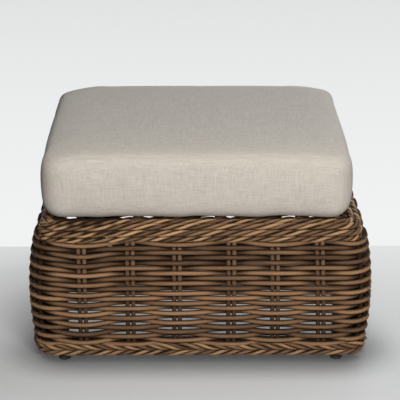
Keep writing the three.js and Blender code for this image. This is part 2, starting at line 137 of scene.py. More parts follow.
def blend_colours(tree, share, first, second):
    """A colour Mix node: each input is a socket, a number or a colour."""
    node = add_node(tree, "ShaderNodeMix", data_type="RGBA")
    for socket, value in zip((node.inputs[0], node.inputs[6], node.inputs[7]), (share, first, second)):
        feed(tree, socket, value)
    return node.outputs[2]


def ramp(tree, value, start, end):
    """0 at start, 1 at end and a straight line between."""
    node = add_node(tree, "ShaderNodeMapRange", From_Min=start, From_Max=end)
    wire(tree, value, node.inputs["Value"])
    return node.outputs["Result"]


def held(tree, value):
    """Keeps a value between 0 and 1."""
    return maths(tree, "MINIMUM", maths(tree, "MAXIMUM", value, 0.0), 1.0)


def scaled(tree, value, factor, start):
    """start plus a value times a factor."""
    return maths(tree, "ADD", start, maths(tree, "MULTIPLY", value, factor))


def ripple(tree, value, rate):
    """A sine wave, with its rate in radians for each unit of the value."""
    return maths(tree, "SINE", maths(tree, "MULTIPLY", value, rate))


print("sums and blends ready")


# %% Places and patterns
def object_place(tree):
    """A point's place in metres. Every piece sits at the origin, so this is its place in the CAD's frame too."""
    return tree.nodes.new("ShaderNodeTexCoord").outputs["Object"]


def kept_value(tree, name):
    """A number that is kept on the points of a mesh."""
    return add_node(tree, "ShaderNodeAttribute", attribute_name=name).outputs["Fac"]


def parted(tree, vector):
    """The X, Y and Z of a vector."""
    node = tree.nodes.new("ShaderNodeSeparateXYZ")
    wire(tree, vector, node.inputs[0])
    return node.outputs


def noise_on(tree, place, scale, detail, rough=0.5):
    """Noise of 0 to 1, with its scale in marks per metre."""
    node = tree.nodes.new("ShaderNodeTexNoise")
    for label, value in (("Vector", place), ("Scale", scale), ("Detail", detail), ("Roughness", rough)):
        feed(tree, node.inputs[label], value)
    return node.outputs["Fac"]


def stretched_noise(tree, place, scale, detail, rough=0.6):
    """Noise with long marks. scale holds its marks per metre along X, Y and Z."""
    spread = add_node(tree, "ShaderNodeMapping", Scale=scale)
    wire(tree, place, spread.inputs["Vector"])
    return noise_on(tree, spread.outputs[0], 1.0, detail, rough)


print("pattern helpers ready")


# %% Materials and groups
def new_material(name, **settings):
    """A material with its Principled BSDF, whose plain values are set on its own sockets."""
    material = bpy.data.materials.new(name)
    material.use_nodes = True
    principled = material.node_tree.nodes["Principled BSDF"]
    for key, value in settings.items():
        principled.inputs[key.replace("_", " ")].default_value = value
    return material, material.node_tree, principled


def new_group(name, inputs, outputs):
    """An empty shader node group, the sockets that give its inputs, and the sockets that take what it made."""
    group = bpy.data.node_groups.new(name, "ShaderNodeTree")
    for label, kind, value in inputs:
        socket = group.interface.new_socket(name=label, in_out="INPUT", socket_type=kind)
        if value is not None:
            socket.default_value = value
    for label, kind in outputs:
        group.interface.new_socket(name=label, in_out="OUTPUT", socket_type=kind)
    return group, group.nodes.new("NodeGroupInput").outputs, group.nodes.new("NodeGroupOutput").inputs


def place_group(tree, group, **values):
    node = tree.nodes.new("ShaderNodeGroup")
    node.node_tree = group
    for key, value in values.items():
        node.inputs[key.replace("_", " ")].default_value = value
    return node


def emboss(tree, principled, height, depth, strength):
    """Fine relief: a Bump node on the shader's normal, with its depth in metres."""
    bump = add_node(tree, "ShaderNodeBump", Distance=depth, Strength=strength)
    wire(tree, height, bump.inputs["Height"])
    wire(tree, bump.outputs[0], principled.inputs["Normal"])


def wear(tree, principled, skin, relief):
    """Wires a group's colour and roughness to the shader, and its height where relief gives a depth and strength."""
    wire(tree, skin.outputs["Colour"], principled.inputs["Base Color"])
    wire(tree, skin.outputs["Roughness"], principled.inputs["Roughness"])
    if relief:
        emboss(tree, principled, skin.outputs["Height"], *relief)


print("material helpers ready")

# %% [markdown]
# ## Floor finish
# The floor is pale to the eye and greyer for the light that it throws back. It glows a little, more and more
# towards the wall line. Light Path limits both to what the eye sees, so they put no light on the footstool. Right
# in front of the base, an Ambient Occlusion node paints shadow into its colour, as a real floor is darkest there.


# %% Floor paint
def seen_rays(tree):
    """1 for the rays that show a surface to the eye: straight, in a gloss or through glass."""
    rays = tree.nodes.new("ShaderNodeLightPath")
    mirrored = maths(tree, "MAXIMUM", rays.outputs["Is Glossy Ray"], rays.outputs["Is Transmission Ray"])
    return maths(tree, "MAXIMUM", rays.outputs["Is Camera Ray"], mirrored)


def mix_shaders(tree, share, first, second, output):
    """Mixes two shaders by a share and wires them to a material's or a world's output."""
    mix = tree.nodes.new("ShaderNodeMixShader")
    for source, target in zip((share, first, second), mix.inputs):
        wire(tree, source, target)
    wire(tree, mix.outputs[0], tree.nodes[output].inputs["Surface"])


floor_paint, tree, principled = new_material("pale_floor", Roughness=0.9)
seen = seen_rays(tree)
sideways, back, _ = parted(tree, object_place(tree))
paint = blend_colours(tree, seen, (0.18, 0.18, 0.18, 1), (0.74, 0.75, 0.76, 1))
floor.data.materials.append(floor_paint)
print("floor painted")

# %% Shade in front of the base
SHADE_REACH = 0.105  # metres, how far the shade reaches from the base
crease = add_node(tree, "ShaderNodeAmbientOcclusion", samples=16, Distance=SHADE_REACH)
shade = maths(tree, "POWER", crease.outputs["AO"], 2.0)
along_front = ramp(tree, back, -0.2, -0.28)
aside = ramp(tree, maths(tree, "ABSOLUTE", sideways), 0.32, 0.38)
at_corner = maths(tree, "MULTIPLY", aside, ramp(tree, back, 0.0, -0.2))
shade_share = maths(tree, "MULTIPLY", maths(tree, "MAXIMUM", along_front, at_corner), seen)
# painted shadow: the floor's colour is darkened in front of the base and at its front corners
shaded_paint = blend_colours(tree, shade, (0.0, 0.0, 0.0, 1), paint)
wire(tree, blend_colours(tree, shade_share, paint, shaded_paint), principled.inputs["Base Color"])
print("shade reaches", SHADE_REACH, "m")

# %% Glow of the floor
WALL_LINE = 0.42  # metres behind the middle, where the floor turns into the bright wall
glow = tree.nodes.new("ShaderNodeEmission")
far_off = ramp(tree, back, 0.7, 4.2)
wire(tree, blend_colours(tree, far_off, (0.88, 0.885, 0.89, 1), (0.75, 0.755, 0.76, 1)), glow.inputs["Color"])
rising = scaled(tree, ramp(tree, back, -0.25, WALL_LINE), 0.6, 0.08)
wall = ramp(tree, back, WALL_LINE, WALL_LINE + 0.03)
glow_share = maths(tree, "MULTIPLY", seen, maths(tree, "MAXIMUM", rising, wall))
mix_shaders(tree, glow_share, principled.outputs[0], glow.outputs[0], "Material Output")
print("bright wall from", WALL_LINE, "m behind the middle")

# %% [markdown]
# ## Lamps
# Large square lamps give soft light, as a studio's softboxes do: a warm one high in front, a small cool one over
# the back, and one behind that keeps the back readable. The world gives a little light from all round, and looks
# pale to the eye.


# %% Lamps
def softbox(name, place, size, power, colour=(1, 1, 1)):
    """A large square lamp that faces the middle of the footstool."""
    data = bpy.data.lights.new(name, "AREA")
    data.shape = "SQUARE"
    data.size = size
    data.energy = power
    data.color = colour
    lamp = bpy.data.objects.new(name, data)
    bpy.context.collection.objects.link(lamp)
    lamp.location = place
    lamp.rotation_euler = (Vector((0, 0, 0.25)) - Vector(place)).to_track_quat("-Z", "Y").to_euler()


softbox("front_softbox", (0.45, -2.85, 1.8), 1.2, 90, (1.0, 0.985, 0.96))
softbox("back_softbox", (0.9, 0.4, 2.3), 0.8, 7.5, (0.88, 0.96, 1.0))
softbox("rear_fill", (0.9, 3.1, 0.85), 1.2, 36)
world = bpy.data.worlds.new("studio")
bpy.context.scene.world = world
world.use_nodes = True
tree = world.node_tree
dim = tree.nodes["Background"]
dim.inputs["Color"].default_value = (0.94, 0.97, 1, 1)
dim.inputs["Strength"].default_value = 0.04
bright = add_node(tree, "ShaderNodeBackground", Color=(0.84, 0.845, 0.85, 1), Strength=1.0)
mix_shaders(tree, seen_rays(tree), dim.outputs[0], bright.outputs[0], "World Output")
print("lamps", [lamp.name for lamp in bpy.data.lights])

# %% [markdown]
# ## The line round the base
# Weavers and borders all run round the same rounded rectangle. It helps to have one ruler for it: a distance round
# the plan, from the front left corner along the front, that gives a place and the direction that faces outwards.
# The walls bow like a barrel, so a second helper says how far the middle of the weave draws in at each height.

# %% Ruler round the base
MM = 0.001
CORNER_X, CORNER_Y = 325.65, 255.65  # centre of each corner's curve
CORNER_RADIUS = 56.55  # to the middle of the weave, at the widest height
WIDEST_HEIGHT, BOW_DEPTH, BOW_HEIGHT = 155, 15, 131  # the wall draws in by the depth, that height above or below
quarter = CORNER_RADIUS * math.pi / 2
run_lengths = [quarter / 2, 2 * CORNER_X, quarter, 2 * CORNER_Y, quarter, 2 * CORNER_X, quarter,
               2 * CORNER_Y, quarter / 2]
run_starts = np.concatenate([[0], np.cumsum(run_lengths)])
ROUND = run_starts[-1]  # the whole way round
front_run, right_run, rear_run, left_run = run_starts[1], run_starts[3], run_starts[5], run_starts[7]


def ruler(distance):
    """Centre x, centre y and outward angle at distances round the base."""
    along = np.mod(np.asarray(distance, float), ROUND)
    angle = np.full(along.shape, -0.75 * math.pi)
    for start, length in zip(run_starts[0::2], run_lengths[0::2]):
        angle = angle + np.clip(along - start, 0, length) / CORNER_RADIUS
    x = np.full(along.shape, -CORNER_X)
    y = np.full(along.shape, -CORNER_Y)
    x = x + np.clip(along - front_run, 0, 2 * CORNER_X) - np.clip(along - rear_run, 0, 2 * CORNER_X)
    y = y + np.clip(along - right_run, 0, 2 * CORNER_Y) - np.clip(along - left_run, 0, 2 * CORNER_Y)
    return x, y, angle


print("once round the base is", round(ROUND), "mm")


# %% Places in the weave
def spots(distance, offset, height, tuck=0):
    """Points in metres, at a distance round the base, an offset outside the middle of the weave and a height, all
    in mm. A line that lies far inside keeps a round corner where tuck moves the centre of the curve in."""
    x, y, angle = ruler(distance)
    x, y = x * (1 - tuck / CORNER_X), y * (1 - tuck / CORNER_Y)
    reach = CORNER_RADIUS + offset + tuck
    height = height + np.zeros(x.shape)
    return np.stack([x + reach * np.cos(angle), y + reach * np.sin(angle), height], axis=1) * MM


def draw_in(height):
    """How far the barrel wall lies inside its widest line."""
    return BOW_DEPTH * ((height - WIDEST_HEIGHT) / BOW_HEIGHT) ** 2


def waver(distance, seed, cycles=(7, 12, 19)):
    """A slow, hand-made waver between -1 and 1 that closes on itself round the base."""
    phases = np.random.default_rng(seed).uniform(0, 2 * math.pi, len(cycles))
    turn = 2 * math.pi * np.asarray(distance) / ROUND
    return sum(np.sin(c * turn + p) for c, p in zip(cycles, phases)) / len(cycles)


print("at 290 mm up, the wall draws in by", round(draw_in(290), 1), "mm")

# %% [markdown]
# ## Places of the stakes
# Upright stakes stand in pairs round the base, six along the front, and one stake stands in each corner. They are
# the warp of the weave: each row passes outside one and inside the next. The pairs were set by hand on the real
# one, so their gaps differ a little, and these are the same places as in the CAD.

# %% Stake places
front_pairs = [-267.9, -159.1, -53.4, 69.4, 168.9, 271.8]
rear_pairs = [269.1, 161.5, 53.8, -53.8, -161.5, -269.1]
side_pairs = [-209.9, -105.0, 0.0, 105.0, 209.9]
corner_places = [0, right_run - quarter / 2, rear_run - quarter / 2, left_run - quarter / 2]
wall_places = {
    "front": [front_run + CORNER_X + x for x in front_pairs],
    "right": [right_run + CORNER_Y + y for y in side_pairs],
    "rear": [rear_run + CORNER_X - x for x in rear_pairs],
    "left": [left_run + CORNER_Y + y for y in side_pairs],
}
FLAT_AT_STAKE, FLAT_AT_PAIR = 3, 8  # half of the stretch of a row that lies flat against a stake or a pair
place_at, place_flat = [], []
for corner, wall in zip(corner_places, wall_places):
    place_at += [corner] + wall_places[wall]
    place_flat += [FLAT_AT_STAKE] + [FLAT_AT_PAIR] * len(wall_places[wall])
place_at = np.array(place_at + [ROUND])
place_flat = np.array(place_flat + [FLAT_AT_STAKE])
print(len(place_at) - 1, "places round the base")

# %% [markdown]
# ## Wicker strands
# Each strand of this wicker is a solid round cord of tinted resin with fine lengthwise streaks. A strand is drawn
# as a curve, given its thickness by the curve's bevel, and turned into a mesh. Its UV map runs along it, so the
# streaks follow every bend. The map is stretched to real metres, and a number kept on the points, the tone, says
# whether this strand came from a light or a dark batch.


# %% Mesh helpers
def keep_value(piece, name, values):
    """Keeps a number on each point of a mesh, for a finish to read."""
    piece.data.attributes.new(name, "FLOAT", "POINT").data.foreach_set("value", values)


def edit_all(operator, **settings):
    """Runs an operator in edit mode on all of the active piece."""
    bpy.ops.object.mode_set(mode="EDIT")
    bpy.ops.mesh.select_all(action="SELECT")
    operator(**settings)
    bpy.ops.object.mode_set(mode="OBJECT")


print("mesh helpers ready")


# %% Strand maker
def strand(points, thickness, tone, closed=False, sides=3, widths=None, upright=False):
    """One round strand along points, in metres, as a mesh object. sides is the curve's bevel resolution."""
    bpy.ops.object.select_all(action="DESELECT")
    bpy.ops.curve.primitive_nurbs_path_add(location=(0, 0, 0))
    piece = bpy.context.object
    line = piece.data
    line.splines.clear()
    line.dimensions = "3D"
    line.twist_mode = "MINIMUM" if upright else "Z_UP"
    line.bevel_depth = thickness / 2
    line.bevel_resolution = sides
    line.use_fill_caps = not closed
    run = line.splines.new("POLY")
    run.points.add(len(points) - 1)
    run.points.foreach_set("co", np.c_[points, np.ones(len(points))].ravel())
    if widths is not None:
        run.points.foreach_set("radius", widths)
    run.use_cyclic_u = closed
    bpy.ops.object.convert(target="MESH")
    if not closed:
        edit_all(bpy.ops.mesh.remove_doubles, threshold=1e-5)
    length = float(np.linalg.norm(np.diff(points, axis=0), axis=1).sum())
    mesh = piece.data
    places = np.empty(len(mesh.loops) * 2, dtype=np.float32)
    mesh.uv_layers[0].data.foreach_get("uv", places)
    places[0::2] = places[0::2] * length + tone * 7  # each tone starts at its own place in the streaks
    mesh.uv_layers[0].data.foreach_set("uv", places)
    keep_value(piece, "tone", [tone] * len(mesh.vertices))
    return piece


print("strand maker ready")


# %% Joining parts
def join_parts(name, parts, material, body="base"):
    """Joins strands or other parts into one smooth piece that rides on a body."""
    bpy.ops.object.select_all(action="DESELECT")
    for part in parts:
        part.select_set(True)
    bpy.context.view_layer.objects.active = parts[0]
    if len(parts) > 1:
        bpy.ops.object.join()
    piece = bpy.context.object
    piece.name = name
    piece.data.name = name
    bpy.ops.object.shade_smooth_by_angle(angle=math.radians(60))
    piece.data.materials.append(material)
    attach(piece, body)
    return piece


print("joiner ready")

# %% [markdown]
# ## Painted shade in the weave
# Between the strands the skin is darkened, as painted shade where little light reaches. Blender
# can guess such places while it renders, but a number kept on the points is exact. This number of painted shade is
# 0 for a point that stands free and 1 for one that lies deep in the weave.


# %% Recess helpers
def mesh_values(piece, name):
    """The places or normals of a mesh's vertices, one row each."""
    values = np.empty(len(piece.data.vertices) * 3)
    piece.data.vertices.foreach_get(name, values)
    return values.reshape(-1, 3)


def smooth_step(values):
    """An even rise from 0 to 1, without a kink at either end."""
    values = np.clip(values, 0, 1)
    return values * values * (3 - 2 * values)


def outwardness(points):
    """How far points, in metres, lie outside the middle line of the weave at its widest, in mm."""
    x = np.abs(points[:, 0]) / MM - CORNER_X
    y = np.abs(points[:, 1]) / MM - CORNER_Y
    return np.hypot(np.maximum(x, 0), np.maximum(y, 0)) + np.minimum(np.maximum(x, y), 0) - CORNER_RADIUS


print("recess helpers ready")

# %% [markdown]
# ## Wicker finish
# The strands look like stripped cane: honey and grey-brown batches, long fine streaks, and a dull skin with a
# little sheen. One node group reads the strand's UV map. The way round the strand is turned into a small circle,
# so the streaks have no seam, and noise stretched along the strand makes streaks and slow changes of tint.

# %% Wicker group
wicker_group, given, made = new_group(
    "wicker_strand",
    [("Strand Place", "NodeSocketVector", None), ("Tone", "NodeSocketFloat", 0.5),
     ("Painted Shade", "NodeSocketFloat", 0.0),
     ("Dark", "NodeSocketColor", (0.10, 0.06, 0.04, 1)), ("Light", "NodeSocketColor", (0.36, 0.2, 0.1, 1))],
    [("Colour", "NodeSocketColor"), ("Roughness", "NodeSocketFloat"), ("Height", "NodeSocketFloat")],
)
tree = wicker_group
SKIN_CIRCLE = 0.004  # metres, the radius of the small circle that the way round a strand becomes
way_along, way_round, _ = parted(tree, given["Strand Place"])
turn = maths(tree, "MULTIPLY", way_round, 2 * math.pi)
skin = tree.nodes.new("ShaderNodeCombineXYZ")
wire(tree, way_along, skin.inputs["X"])
for operation, axis in (("COSINE", "Y"), ("SINE", "Z")):
    wire(tree, maths(tree, "MULTIPLY", maths(tree, operation, turn), SKIN_CIRCLE), skin.inputs[axis])
streaks = stretched_noise(tree, skin.outputs[0], (22, 620, 620), 3.0)
tints = stretched_noise(tree, skin.outputs[0], (3, 30, 30), 1.0)
pores = stretched_noise(tree, skin.outputs[0], (90, 1400, 1400), 1.0)
flecks = maths(tree, "MULTIPLY", maths(tree, "GREATER_THAN", pores, 0.66), 0.35)
print("wicker patterns", len(tree.nodes), "nodes")

# %% Colour and skin of the wicker
tinted = given["Tone"]
for pattern in (tints, streaks):
    swing = maths(tree, "MULTIPLY", maths(tree, "SUBTRACT", pattern, 0.5), 0.9)
    tinted = maths(tree, "ADD", tinted, swing)
colour = blend_colours(tree, held(tree, tinted), given["Dark"], given["Light"])
colour = blend_colours(tree, flecks, colour, (0.03, 0.02, 0.015, 1))
# painted shade: deep in the weave and in the creases, the colour is darkened nearly to black
painted_shade_weight = maths(tree, "MULTIPLY", given["Painted Shade"], 0.96)
colour = blend_colours(tree, painted_shade_weight, colour, (0.012, 0.006, 0.003, 1))
wire(tree, colour, made["Colour"])
dull_recess = maths(tree, "MULTIPLY", given["Painted Shade"], 0.45)
dulled = scaled(tree, streaks, 0.25, dull_recess)
wire(tree, maths(tree, "MINIMUM", maths(tree, "ADD", 0.4, dulled), 1.0), made["Roughness"])
wire(tree, maths(tree, "SUBTRACT", streaks, flecks), made["Height"])
print("wicker group has", len(tree.nodes), "nodes")


# %% Wicker materials
def wicker_material(name, dark, light):
    """Wicker skin on a strand's own UV map and tone."""
    material, tree, principled = new_material(name, Specular_IOR_Level=0.12)
    skin = place_group(tree, wicker_group, Dark=dark, Light=light)
    wire(tree, tree.nodes.new("ShaderNodeUVMap").outputs[0], skin.inputs["Strand Place"])
    wire(tree, kept_value(tree, "tone"), skin.inputs["Tone"])
    wire(tree, kept_value(tree, "painted_shade"), skin.inputs["Painted Shade"])
    wear(tree, principled, skin, (0.0005, 0.6))
    return material


row_wicker = wicker_material("woven_wicker", (0.085, 0.045, 0.026, 1), (0.415, 0.232, 0.119, 1))
stake_wicker = wicker_material("stake_wicker", (0.07, 0.039, 0.025, 1), (0.25, 0.143, 0.08, 1))
border_wicker = wicker_material("border_wicker", (0.082, 0.042, 0.024, 1), (0.54, 0.32, 0.165, 1))
print("wicker materials", row_wicker.name, stake_wicker.name, border_wicker.name)

# %% [markdown]
# ## Woven rows
# Twenty-two weavers run round the base, one on another. Each passes outside a pair of stakes and inside the next,
# and its neighbours do the opposite, which is what makes the leaf-shaped pattern. The path is drawn from one
# smooth wave per gap. The rows of a wall are one piece that stands for that wall's weave in the CAD, and the rows
# of two walls meet exactly at the corner, because both are read off the same ruler.

# %% Path of a weaver
ROWS = 22
ROW_THICKNESS = 11.6
STAKE_THICKNESS = 10.0
PASSING = 10.4  # a row is pressed a little into the stakes it passes
ROW_LEVELS = [0, 2, 19, 20, 21], [47.5, 68.7, 268.1, 277.8, 288.5]  # row, and its height
ROW_RISES = ([58, 80, 104, 117, 141, 164, 188, 199, 280, 288],  # height, and how far a row climbs over a stake
             [0.6, 1.0, 1.0, 1.3, 2.3, 3.0, 3.7, 4.1, 4.1, 0.5])
DIP_SHARES = [40, 65, 268, 278, 288], [0, 1, 1, 0.42, 0.25]  # height, and how much of the dip a row takes


def passing_side(distance, row):
    """+1 where a row passes outside the stakes, -1 where it passes inside, turning smoothly between."""
    gap = np.clip(np.searchsorted(place_at, distance, side="right") - 1, 0, len(place_at) - 2)
    start = place_at[gap] + place_flat[gap]
    end = place_at[gap + 1] - place_flat[gap + 1]
    share = np.clip((distance - start) / (end - start), 0, 1)
    return np.where((row + gap) % 2 == 0, 1, -1) * np.cos(math.pi * share)


def near_first_pair(distance, width):
    """1 at the pair of stakes next to the front left corner, fading out on both sides."""
    return np.exp(-((distance - wall_places["front"][0]) / width) ** 2)


def row_path(row, distance):
    """Points of a row, in metres: it leans with the barrel, waves up and down, and dips near the front left corner.
    The lowest rows are beaten closer together, and the highest one sags out from under the border."""
    height = np.interp(row, *ROW_LEVELS)
    side = passing_side(distance, row)
    lean = math.atan(2 * BOW_DEPTH * (height - WIDEST_HEIGHT) / BOW_HEIGHT ** 2)
    rise = np.interp(height, *ROW_RISES)
    dip = (4.6 + 6 * ((height - 145) / 125) ** 2) * near_first_pair(distance, 55)
    dip = dip * np.interp(height, *DIP_SHARES)
    level = height + side * rise - dip + 0.5 * waver(distance, 3)
    level = level + 0.18 * waver(distance, 100 + row, (16, 23, 31))
    offset = -draw_in(height) + side * PASSING * math.cos(lean)
    return spots(distance, offset, level)


print("rows stand from", ROW_LEVELS[1][0], "to", ROW_LEVELS[1][-1], "mm")

# %% Weave the four walls
POINT_GAP, OVERLAP = 4.5, 0.2  # mm between the points of a row, and how far it runs past the wall's end
row_tones = np.random.default_rng(189208).permutation(np.linspace(0.12, 0.88, ROWS))
wall_spans = {"front": (0, corner_places[1]), "right": (corner_places[1], corner_places[2]),
              "rear": (corner_places[2], corner_places[3]), "left": (corner_places[3], ROUND)}
for wall, (start, end) in wall_spans.items():
    distance = np.linspace(start - OVERLAP, end + OVERLAP, int((end - start) / POINT_GAP))
    rows = []
    for row in range(ROWS):
        widths = 1 + 0.03 * waver(distance, 200 + row, (5, 11, 17))
        rows.append(strand(row_path(row, distance), ROW_THICKNESS * MM, row_tones[row], widths=widths))
    piece = join_parts(f"{wall}_woven_rows", rows, row_wicker)
    points = mesh_values(piece, "co")
    stands_out = outwardness(points) + draw_in(points[:, 2] / MM)
    sunk = smooth_step((7 - stands_out) / 19)  # from 7 mm outside the middle of the weave to 12 mm inside it
    crevice = smooth_step((np.abs(mesh_values(piece, "normal")[:, 2]) - 0.42) / 0.5)  # against the next row
    # painted shade: darker deep in the weave and where a row lies against the next
    keep_value(piece, "painted_shade", np.clip(sunk + crevice - 0.03, 0, 1))
    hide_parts(f"{wall}_weave")
    print(piece.name, len(piece.data.polygons), "faces")

# %% [markdown]
# ## Stakes
# The two stakes of a pair are straight cords that follow the barrel of the wall from the plait at the bottom up
# into the rope border. One pair is modelled at the middle of the front. Copies of it stand all round, each moved
# and turned in its mesh, with a light shear where the real pair leans.


# %% First pair of stakes
STAKE_HEIGHTS = np.linspace(40, 297, 40)  # from inside the plait up into the border
STAKE_OFFSETS = -draw_in(STAKE_HEIGHTS) - 8 * smooth_step((STAKE_HEIGHTS - 276) / 16)  # the upper end is tucked in
PAIR_HALF = 6.4  # from the middle of a pair to the middle of each of its stakes


def stake_line(along):
    """Points of a stake that stands so far along the front from the middle, on a wall that faces -Y."""
    reach = CORNER_Y + CORNER_RADIUS + STAKE_OFFSETS
    return np.stack([np.full(len(reach), along), -reach, STAKE_HEIGHTS], axis=1) * MM


first_pair = join_parts("stake_pair", [
    strand(stake_line(side * PAIR_HALF), STAKE_THICKNESS * MM, tone, upright=True)
    for side, tone in ((-1, 0.35), (1, 0.6))
], stake_wicker)
# painted shade: the stakes darken towards the bottom, where they stand in shade between the rows
keep_value(first_pair, "painted_shade", np.interp(mesh_values(first_pair, "co")[:, 2] / MM, [90, 220], [0.62, 0.0]))
print("first pair", len(first_pair.data.polygons), "faces")

# %% Copies of the pair
LEAN_CENTRE = 0.17  # metres, the height at which a leaning pair keeps its place
side_shift = CORNER_X - CORNER_Y
facing = {"front": 0, "right": math.pi / 2, "rear": math.pi, "left": -math.pi / 2}
leans = {("front", 1): 0.006, ("front", 6): 0.034, ("front", 5): 0.012, ("right", 2): -0.012, ("left", 4): 0.014}
copies = 0
for wall, spots_along in (("front", front_pairs), ("right", side_pairs), ("rear", [-x for x in rear_pairs]),
                          ("left", side_pairs)):
    for number, along in enumerate(spots_along, 1):
        pair = bpy.data.objects.new(f"{wall}_stakes_{number}", first_pair.data.copy())
        bpy.context.collection.objects.link(pair)
        slant = leans.get((wall, number), 0)
        lean = Matrix.Identity(4)
        lean[0][2], lean[0][3] = -slant, slant * LEAN_CENTRE
        out = Matrix.Translation((along * MM, -side_shift * MM if wall in ("right", "left") else 0, 0))
        pair.data.transform(Matrix.Rotation(facing[wall], 4, "Z") @ out @ lean)
        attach(pair, "base")
        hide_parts(f"{wall}_stake_pair_{number}")
        copies += 1
bpy.data.objects.remove(first_pair)
print(copies, "stake pairs")

# %% Corner stakes
corner_names = ["front_left", "front_right", "rear_right", "rear_left"]
for name, at in zip(corner_names, corner_places):
    line = spots(np.full(len(STAKE_HEIGHTS), at), STAKE_OFFSETS, STAKE_HEIGHTS)
    # painted shade: the corner stakes take the darkest tone and painted shade all over, as they stand in shade
    stake = join_parts(f"{name}_corner_cane", [strand(line, STAKE_THICKNESS * MM, 0.05, upright=True)],
                         stake_wicker)
    keep_value(stake, "painted_shade", np.full(len(stake.data.vertices), 0.8))
    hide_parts(f"{name}_corner_stake")
print("corner stakes", corner_names)

# %% [markdown]
# ## Rope border
# The top of the weave ends in a rolled border: four rope courses climb over the frame's rail, and a fifth lies
# inside them under the cushion. Each course is three strands laid up like rope. The strands wind round the
# course's own line, so each shows as a row of slanted leaves. Every strand changes tint on its way, as new
# lengths are let in.


# %% Rope maker
ROPE_POINTS = 620  # points of each strand, once round the base


def rope_course(name, offset, height, turns, handed, tones, seed, others, thickness=7.5, swing=4.2, phase=0.0,
                tuck=0, cushion_shadow=0.0):
    """Three strands that wind round one closed line. handed is +1 where they climb to the right as seen outside.
    Painted shade is marked in the creases between the strands, and where the other courses lie against this one.
    The last argument paints shade over all of a course that lies in the cushion's shadow."""
    distance = np.linspace(0, ROUND, ROPE_POINTS, endpoint=False)
    level = height - (3.0 * near_first_pair(distance, 85) if height > 250 else 0)  # the top dips with the rows
    strands = []
    for k, tone in enumerate(tones):
        wind = handed * 2 * math.pi * turns * distance / ROUND + 2 * math.pi * k / len(tones) + phase
        wind = wind + 0.35 * waver(distance, seed + k, (9, 14, 22))
        loose = swing + 0.35 * waver(distance, seed + 10 + k, (11, 17, 29))
        points = spots(distance, offset + loose * np.cos(wind), level + loose * np.sin(wind), tuck)
        widths = 1 + 0.09 * waver(distance, seed + 20 + k, (8, 13, 27))
        strands.append(strand(points, thickness * MM, tone, closed=True, sides=2, widths=widths))
    course = join_parts(name, strands, border_wicker)
    points = mesh_values(course, "co")
    from_core = np.hypot(outwardness(points) - offset, points[:, 2] / MM - height)
    from_others = np.min([np.hypot(outwardness(points) - x, points[:, 2] / MM - z) for x, z in others], axis=0)
    painted_shade = smooth_step((thickness - from_core) / 3.2) + 0.6 * smooth_step((11 - from_others) / 3.5)
    keep_value(course, "painted_shade", np.clip(painted_shade + cushion_shadow, 0, 1))
    return course


print("each course has", 3 * ROPE_POINTS, "points")

# %% Top border
BORDER_SHIFT = 1.45  # the weave's middle line here lies this far inside the CAD's, because its strands are round
TOP_TURNS, FOOT_TURNS = 29, 30  # of a strand round its course's line, once round the base
top_courses = [  # name, offset from the middle of the weave, and height
    ("lowest", -23.6, 295.4),
    ("second", -22.34, 310.1),
    ("third", -27.85, 324.4),
    ("highest", -41.38, 329.3),
    ("inner", -56.08, 329.8),
]
top_lines = [(offset + BORDER_SHIFT, height) for name, offset, height in top_courses]
for number, (name, offset, height) in enumerate(top_courses):
    inside = name == "inner"
    # the inner course lies under the cushion, and painted shade covers all of it
    course = rope_course(f"{name}_rope_course", offset + BORDER_SHIFT, height, TOP_TURNS, 1, (0.85, 0.4, 0.2),
                         40 + 3 * number, top_lines[:number] + top_lines[number + 1:], phase=0.4 - number * 2.05,
                         tuck=7.3 if inside else 0, cushion_shadow=0.8 if inside else 0)
    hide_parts(f"top_border_{name}_course")
    print(course.name, len(course.data.polygons), "faces")

# %% [markdown]
# ## Plaited foot border
# The bottom border is a plait of two courses that twist opposite ways, so their slants meet in arrowheads. They
# are made as the ropes above are, but the upper one is wound the other way. Both have the same number of turns.

# %% Foot border
foot_courses = [("upper", -3.95, 40.9, -1, 0.0), ("lower", -8.9, 24.7, 1, 0.4)]  # ending in handed and phase
for name, offset, height, handed, phase in foot_courses:
    other = [(x + BORDER_SHIFT, z) for _, x, z, _, _ in foot_courses if z != height]
    course = rope_course(f"{name}_plait_course", offset + BORDER_SHIFT, height, FOOT_TURNS, handed,
                         (0.4, 0.7, 0.2), 70 if handed < 0 else 90, other, thickness=7.9, swing=4.5, phase=phase)
    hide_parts(f"bottom_border_{name}_course")
    print(course.name, len(course.data.polygons), "faces")

# %% [markdown]
# ## Frame, deck and glides
# Under the weave is a frame of aluminium tube and bar with a bronze-brown powder coat, and its glides are black
# moulded plastic. Their shapes are right in the CAD, so its nodes stay and only get a finish. Paint, plastic and
# metal all have a skin of one kind: a fine grain in the relief, and a slow cloud that changes the tint and the
# gloss. One node group makes it, and each material places it with its own values.

# %% Grained skin group
grained_group, given, made = new_group(
    "grained_skin",
    [("Place", "NodeSocketVector", None), ("Grain Scale", "NodeSocketFloat", 800.0),
     ("Cloud Scale", "NodeSocketFloat", 60.0), ("Cloud Detail", "NodeSocketFloat", 3.0),
     ("Dark", "NodeSocketColor", (0.04, 0.04, 0.04, 1)), ("Light", "NodeSocketColor", (0.08, 0.08, 0.08, 1)),
     ("Smooth", "NodeSocketFloat", 0.4), ("Dulling", "NodeSocketFloat", 0.2)],
    [("Colour", "NodeSocketColor"), ("Roughness", "NodeSocketFloat"), ("Height", "NodeSocketFloat")],
)
tree = grained_group
grain = noise_on(tree, given["Place"], given["Grain Scale"], 2.0)
cloud = noise_on(tree, given["Place"], given["Cloud Scale"], given["Cloud Detail"])
wire(tree, blend_colours(tree, cloud, given["Dark"], given["Light"]), made["Colour"])
wire(tree, scaled(tree, cloud, given["Dulling"], given["Smooth"]), made["Roughness"])
wire(tree, grain, made["Height"])
print("grained skin group has", len(tree.nodes), "nodes")


